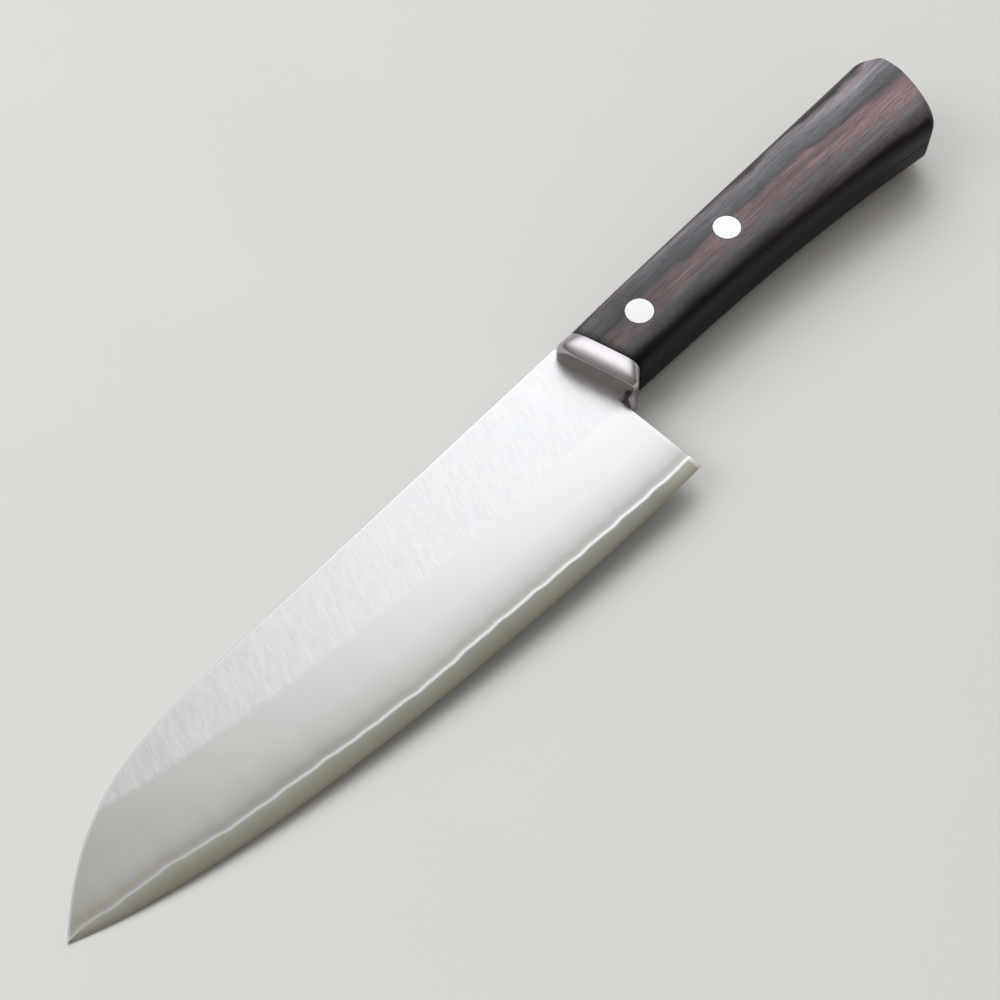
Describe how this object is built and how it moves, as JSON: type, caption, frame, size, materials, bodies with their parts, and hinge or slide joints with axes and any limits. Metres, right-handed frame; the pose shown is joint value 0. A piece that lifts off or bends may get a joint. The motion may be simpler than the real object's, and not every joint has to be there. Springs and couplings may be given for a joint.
{
  "type": "santoku kitchen knife",
  "caption": "Kitchen knife with a broad clad blade, straight spine falling to a low tip, polished bolster and riveted dark laminated-wood handle, for slicing and chopping.",
  "frame": {"origin": "middle of the knife's underside as it lies on its right side", "axes": "+X along the blade to the tip, +Y from the spine to the cutting edge, +Z out of the blade's left side"},
  "size_m": [0.289, 0.047, 0.016],
  "materials": {
    "core_steel": "satin, darker than the cladding",
    "cladding_steel": "cross-brushed above the grind line, satin below it",
    "bolster_steel": "polished",
    "handle_wood": "semi-gloss resin-filled laminated wood, dark brown with a reddish streak",
    "rivet_steel": "polished flush"
  },
  "bodies": {
    "root": {"blade_core": "core_steel", "blade_cladding_right": "cladding_steel", "blade_cladding_left": "cladding_steel", "bolster": "bolster_steel", "scale_right": "handle_wood", "scale_left": "handle_wood", "front_rivet_socket": "rivet_steel", "front_rivet_pin": "rivet_steel", "rear_rivet_socket": "rivet_steel", "rear_rivet_pin": "rivet_steel"}
  },
  "joints": []
}
